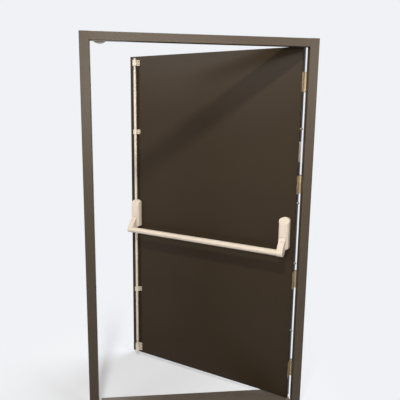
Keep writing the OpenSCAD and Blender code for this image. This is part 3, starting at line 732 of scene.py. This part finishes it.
@dataclass(frozen=True)
class DoorFrame:
    """The folded frame, its threshold, seals, keeps and fixings."""

    cap: Dome = Dome(radius=8.5 * MM, rise=1.3 * MM, sides=32)
    weld: WeldBead = WeldBead()
    weld_sunk: float = 0.28 * MM
    weld_below_top: float = 0.5 * MM

    def dress(self) -> None:
        """Finish the frame's solids."""
        dress(["hinge_jamb", "lock_jamb", "frame_head"], FRAME_PAINT)
        dress(["top_keep"], LIT_KEEP_PAINT)
        dress(["threshold", "floor_keep"], SILL_METAL)
        dress(["hinge_jamb_seal", "lock_jamb_seal", "head_seal"], SEAL_RUBBER)
        dress(["keep_screws"], SCREW_STEEL)
        dress(["fixing_sleeves", "hinge_backers"], BARE_STEEL)

    def cap_places(self) -> list[Matrix]:
        """Where the cover caps sit: on the stops, over the fixing holes that the record states.

        Returns:
            One placing for each cap, its +Z out of the stop.
        """
        places = []
        for mount in frame["record"]["mounts"]:
            if mount["kind"] != "bolt_pattern":
                continue
            out = Vector(mount["axis"])
            half = Vector((0, 0, mount["dims"]["spacing_y_mm"] * MM / 2))
            turn = out.to_track_quat("Z", "Y").to_matrix().to_4x4()
            places += [Matrix.Translation(Vector(mount["pos_m"]) + sign * half) @ turn for sign in (-1, 1)]
        return places

    def build_caps(self) -> None:
        """Put a painted cover cap on each fixing."""
        places = self.cap_places()
        caps = put_piece("fixing_caps", self.cap.surface().copied(places), FRAME_PAINT)
        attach(caps, "frame")
        LOG.info("fixing caps: %d", len(places))

    def build_welds(self) -> None:
        """Run a dressed weld down each joint of head and jamb, on the front face."""
        low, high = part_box("frame_head")
        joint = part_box("threshold")[1][0]
        foot = low[1] + self.weld_sunk
        out = np.array([0.0, -1.0, 0.0])
        for side, name in ((-1, "lock_corner_weld"), (1, "hinge_corner_weld")):
            start = np.array([side * joint, foot, low[2] + self.weld.width])
            end = np.array([side * joint, foot, high[2] - self.weld_below_top])
            weld = put_piece(name, self.weld.surface(start, end, out), FRAME_PAINT)
            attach(weld, "frame")
            LOG.info("%s: %.0f mm", name, float(np.linalg.norm(end - start)) / MM)

    def build(self) -> None:
        """Finish the frame and add its trim."""
        self.dress()
        self.build_caps()
        self.build_welds()


@dataclass(frozen=True)
class Hinges:
    """Four butt hinges with their pins and screws."""

    count: int = 4
    crown_share: float = 0.8
    crown_rise: float = 2.0 * MM
    crown_sides: int = 24

    def dress(self) -> None:
        """Finish the hinges' solids."""
        numbers = range(1, self.count + 1)
        dress([f"{side}_hinge_leaf_{i}" for side in ("frame", "leaf") for i in numbers], ZINC)
        dress(["frame_hinge_screws", "leaf_hinge_screws"], SCREW_STEEL)
        dress(["hinge_pins"], BARE_STEEL)

    def build_crowns(self) -> None:
        """Put a low dome, a share of the knuckle's width, on the foot of each pin."""
        axis = next(joint for joint in frame["joints"] if joint["name"] == "door_swing")["pos_m"]
        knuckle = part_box("frame_hinge_leaf_1")[1][1] - axis[1]
        crown = Dome(self.crown_share * knuckle, self.crown_rise, self.crown_sides)
        down = Matrix.Rotation(math.pi, 4, "X")
        feet = [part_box(f"frame_hinge_leaf_{i}")[0][2] for i in range(1, self.count + 1)]
        places = [Matrix.Translation((axis[0], axis[1], foot)) @ down for foot in feet]
        crowns = put_piece("hinge_pin_feet", crown.surface().copied(places), BARE_STEEL)
        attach(crowns, "frame")
        LOG.info("hinge pin feet: %d", len(places))

    def build(self) -> None:
        """Finish the hinges and crown their pins."""
        self.dress()
        self.build_crowns()


@dataclass(frozen=True)
class Leaf:
    """The sheet steel leaf with what is set into its edges."""

    def build(self) -> None:
        """Finish the leaf's solids."""
        dress(["inner_skin", "outer_skin"], SHADED_LEAF_PAINT)
        dress(["top_channel", "bottom_channel", "hinge_stile"], GALVANISED)
        dress(["dog_bolts"], BARE_STEEL)
        dress(["leaf_core"], CORE_WOOL)
        dress(["edge_plate"], LIT_EDGE_PLATE_PAINT)
        dress(["edge_plate_screws"], SCREW_STEEL)


@dataclass(frozen=True)
class PushBolt:
    """The push bar with its cases, arms, rods, bolts and guides."""

    def build(self) -> None:
        """Finish the push bar and its works."""
        dress(["active_cover", "idle_cover", "active_arm", "idle_arm"], CREAM_PAINT)
        dress(["crossbar", "bar_end_plugs"], CREAM_PAINT)
        dress(["top_rod", "top_bolt", "bottom_rod", "bottom_bolt"], CREAM_PAINT)
        dress(["top_guide", "upper_rod_guide", "lower_rod_guide", "bottom_guide"], CREAM_PAINT)
        dress(["active_base", "idle_base", "return_springs"], BARE_STEEL)
        dress(["active_pivot_pins", "idle_pivot_pins", "crank_pin"], ZINC)
        dress(["rocker_stud", "rocker", "top_slider", "bottom_slider"], ZINC)
        dress(["guide_screws", "case_screws", "arm_screws"], SCREW_STEEL)


# Studio


@dataclass(frozen=True)
class Lamp:
    """A rectangular studio lamp that looks at a point."""

    name: str
    place: Point
    target: Point
    width: float
    height: float
    watts: float
    colour: Colour = (255, 250, 243)
    spread_deg: float = 180.0

    def build(self) -> None:
        """Hang the lamp."""
        data = bpy.data.lights.new(self.name, "AREA")
        data.shape = "RECTANGLE"
        data.size = self.width
        data.size_y = self.height
        data.energy = self.watts
        data.color = linear(self.colour)[:3]
        data.spread = math.radians(self.spread_deg)
        lamp = bpy.data.objects.new(self.name, data)
        aim = Vector(self.target) - Vector(self.place)
        turn = aim.to_track_quat("-Z", "Y").to_matrix().to_4x4()
        lamp.matrix_world = Matrix.Translation(self.place) @ turn
        bpy.context.scene.collection.objects.link(lamp)
        LOG.info("lamp %s", self.name)


@dataclass(frozen=True)
class Studio:
    """A pale floor, a pale surround and soft lamps."""

    surround: Colour = (240, 242, 246)
    sky_colour: Colour = (250, 251, 255)
    sky_strength: float = 0.06
    floor_half: float = 9.0
    floor_points: int = 3
    floor_drop: float = 0.2 * MM
    floor_colour: Colour = (225, 229, 236)
    floor_light: Colour = (255, 255, 255)
    floor_roughness: float = 0.9
    floor_specular: float = 0.1
    floor_middle: Point = (-0.3, 0.45, 0.0)
    floor_clear: float = 0.2
    floor_gone: float = 1.4
    floor_glow: float = 0.3
    lamps: tuple[Lamp, ...] = (
        Lamp("side_lamp", (-4.38, -1.76, 3.0), (0.1, 0.4, 1.95), width=3.2, height=0.4, watts=108.0),
        Lamp("key_lamp", (-0.6, -2.0, 4.3), (0.0, 0.2, 1.4), width=0.25, height=0.25, watts=118.0),
        Lamp("hinge_lamp", (2.6, -3.4, 2.4), (0.1, 0.4, 1.3), width=1.2, height=1.2, watts=57.0),
        Lamp("eye_lamp", (-0.3, -3.4, 2.0), (0.0, 0.0, 1.7), width=1.6, height=1.0, watts=9.4,
             spread_deg=60.0),
        Lamp("back_lamp", (2.2, 1.9, 3.4), (-0.25, 0.3, 0.0), width=2.4, height=1.8, watts=120.0,
             colour=(252, 252, 255)))

    def build_surround(self) -> None:
        """Light the scene evenly, and show camera, glossy and transmission rays the pale surround."""
        world = bpy.data.worlds.new("surround")
        world.use_nodes = True
        bpy.context.scene.world = world
        kit = NodeKit(world.node_tree)
        light = kit.tree.nodes["Background"]
        kit.feed(light.inputs["Color"], linear(self.sky_colour))
        kit.feed(light.inputs["Strength"], self.sky_strength)
        shown = kit.add("ShaderNodeBackground")
        kit.feed(shown.inputs["Color"], linear(self.surround))
        kit.feed(shown.inputs["Strength"], 1.0)
        both = kit.choose(kit.seen_directly(), light.outputs[0], shown.outputs[0])
        kit.feed(kit.tree.nodes["World Output"].inputs["Surface"], both)

    def floor_material(self) -> bpy.types.Material:
        """Dull pale paint near the middle, which glows as the surround further out.

        Returns:
            The material.
        """
        shader = Shader("studio_floor")
        shader.give("Base Color", linear(self.floor_colour))
        shader.give("Roughness", self.floor_roughness)
        shader.give("Specular IOR Level", self.floor_specular)
        place = shader.add("ShaderNodeTexCoord").outputs["Object"]
        reach = shader.vectors("DISTANCE", place, self.floor_middle).outputs["Value"]
        fade = shader.add("ShaderNodeMapRange", interpolation_type="SMOOTHSTEP")
        shader.feed(fade.inputs["Value"], reach)
        shader.feed(fade.inputs["From Min"], self.floor_clear)
        shader.feed(fade.inputs["From Max"], self.floor_gone)
        far = fade.outputs["Result"]
        share = shader.add("ShaderNodeMapRange")
        shader.feed(share.inputs["Value"], far)
        shader.feed(share.inputs["To Min"], self.floor_glow)
        glow = shader.add("ShaderNodeEmission")
        shader.feed(glow.inputs["Color"], shader.blend(far, linear(self.floor_light), linear(self.surround)))
        shown = shader.maths("MULTIPLY", share.outputs["Result"], shader.seen_directly())
        both = shader.choose(shown, shader.body.outputs[0], glow.outputs[0])
        shader.feed(shader.tree.nodes["Material Output"].inputs["Surface"], both)
        return shader.material

    def build_floor(self) -> None:
        """Lay a level floor that keeps the shadow near the door and fades into the surround further out."""
        side = np.linspace(-self.floor_half, self.floor_half, self.floor_points)
        x, y = np.meshgrid(side, side)
        mesh = grid(np.stack([x, y, 0 * x - self.floor_drop], axis=-1), wrap=False).mesh("floor")
        mesh.materials.append(self.floor_material())
        floor = bpy.data.objects.new("floor", mesh)
        bpy.context.scene.collection.objects.link(floor)

    def build(self) -> None:
        """Set up surround, floor and lamps."""
        bpy.context.scene.view_settings.view_transform = "Standard"
        self.build_surround()
        self.build_floor()
        for lamp in self.lamps:
            lamp.build()


@dataclass(frozen=True)
class EyeCamera:
    """A camera at eye height in front of the door, turned to the hinge side and tipped down a little."""

    place: Point = (-0.2766, -2.4250, 1.6446)
    yaw_deg: float = 6.56
    pitch_deg: float = 10.11
    roll_deg: float = 0.776
    focal_px: float = 468.5
    picture_px: float = 400.0
    sensor_mm: float = 36.0
    clip_end: float = 60.0

    def build(self) -> None:
        """Set up the camera and make it the scene's: yaw about +Z, then pitch down, then roll."""
        yaw, pitch, roll = (math.radians(a) for a in (self.yaw_deg, self.pitch_deg, self.roll_deg))
        level = Vector((math.sin(yaw), math.cos(yaw), 0.0))
        ahead = level * math.cos(pitch) - Vector((0.0, 0.0, math.sin(pitch)))
        right = Vector((math.cos(yaw), -math.sin(yaw), 0.0))
        up = right.cross(ahead)
        rolled_right = right * math.cos(roll) + up * math.sin(roll)
        rolled_up = up * math.cos(roll) - right * math.sin(roll)
        data = bpy.data.cameras.new("eye_camera")
        data.sensor_width = self.sensor_mm
        data.lens = self.focal_px / self.picture_px * self.sensor_mm
        data.clip_end = self.clip_end
        camera = bpy.data.objects.new("eye_camera", data)
        turn = Matrix((rolled_right, rolled_up, -ahead)).transposed().to_4x4()
        camera.matrix_world = Matrix.Translation(self.place) @ turn
        bpy.context.scene.collection.objects.link(camera)
        bpy.context.scene.camera = camera
        LOG.info("camera %.1f mm", data.lens)


def main() -> None:
    """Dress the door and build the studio."""
    logging.basicConfig(level=logging.INFO, format="%(name)s: %(message)s")
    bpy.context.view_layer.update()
    for assembly in (EyeCamera(), DoorFrame(), Hinges(), Leaf(), PushBolt(), Studio()):
        assembly.build()


if __name__ == "__main__":
    main()
